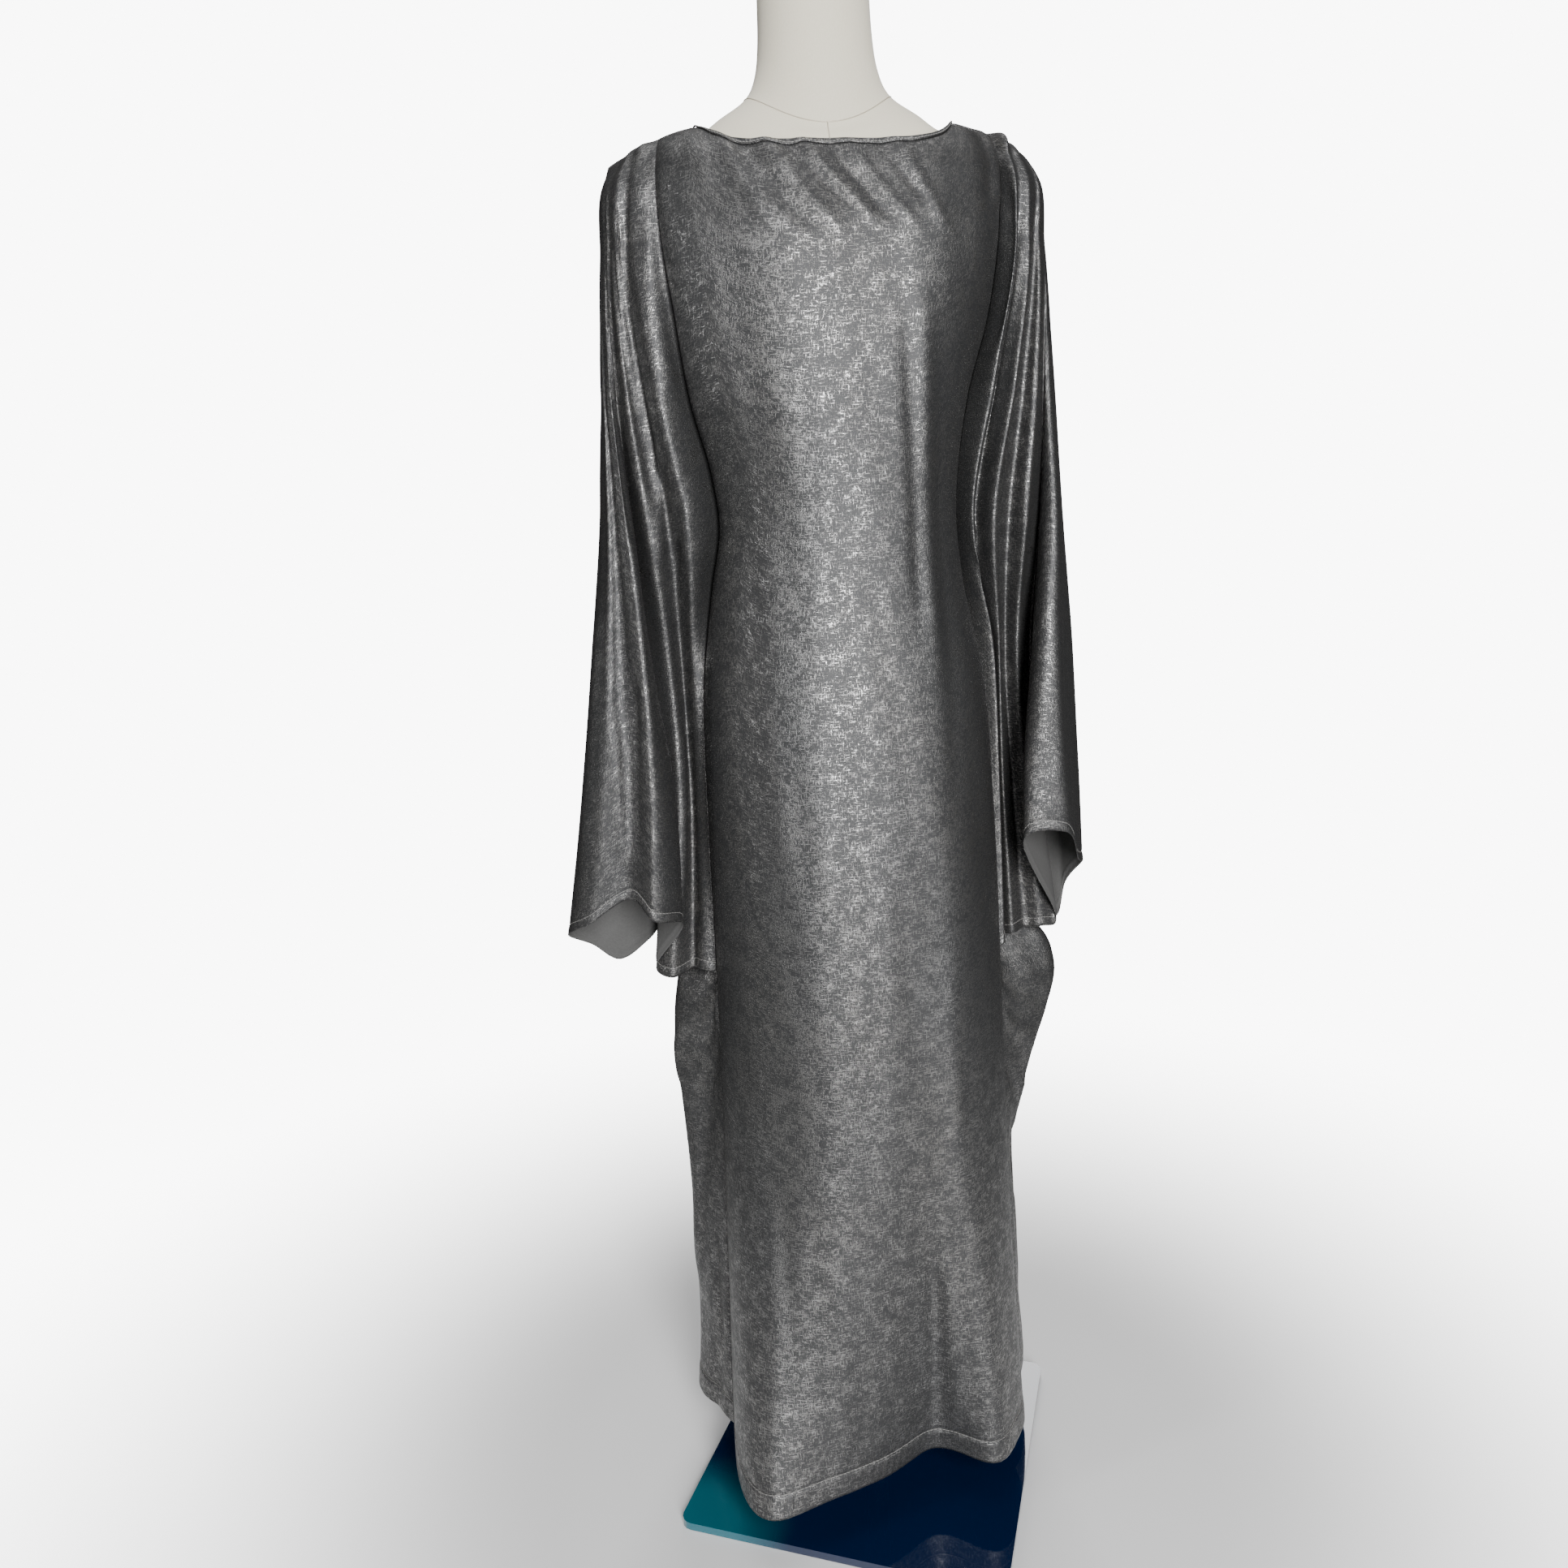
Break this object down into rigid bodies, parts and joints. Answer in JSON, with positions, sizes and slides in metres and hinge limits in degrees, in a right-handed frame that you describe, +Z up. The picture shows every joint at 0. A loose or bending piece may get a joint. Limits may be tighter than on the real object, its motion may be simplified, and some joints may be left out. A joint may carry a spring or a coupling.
{
  "type": "butterfly abaya on a limbless dress form",
  "caption": "Full-length butterfly abaya of metallic foil cloth with wide wing sleeves, shown on a limbless dress form with a pole and a glass plate.",
  "frame": {"origin": "on the floor at the middle of the base plate's underside, under the pole's axis", "axes": "+Z up along the pole, -Y is the front of the garment, +X is to the right of someone who looks at its front"},
  "size_m": [0.5482, 0.4398, 1.54],
  "materials": {
    "foil_cloth": "dark pewter cloth with a broken silver foil print",
    "form_jersey": "cream cotton jersey stretched over the form",
    "cap_wood": "plain satin wood",
    "stand_steel": "brushed steel",
    "plate_glass": "polished deep teal glass, opaque"
  },
  "bodies": {
    "root": {"front_panel": "foil_cloth", "back_panel": "foil_cloth", "wing_front_left": "foil_cloth", "wing_back_left": "foil_cloth", "wing_front_right": "foil_cloth", "wing_back_right": "foil_cloth", "cascade_left": "foil_cloth", "cascade_right": "foil_cloth", "neck_band_front": "foil_cloth", "neck_band_back": "foil_cloth", "dress_form": "form_jersey", "neck_cap": "cap_wood", "form_flange": "stand_steel", "pole": "stand_steel", "pole_socket": "stand_steel", "base_plate": "plate_glass"}
  },
  "joints": []
}
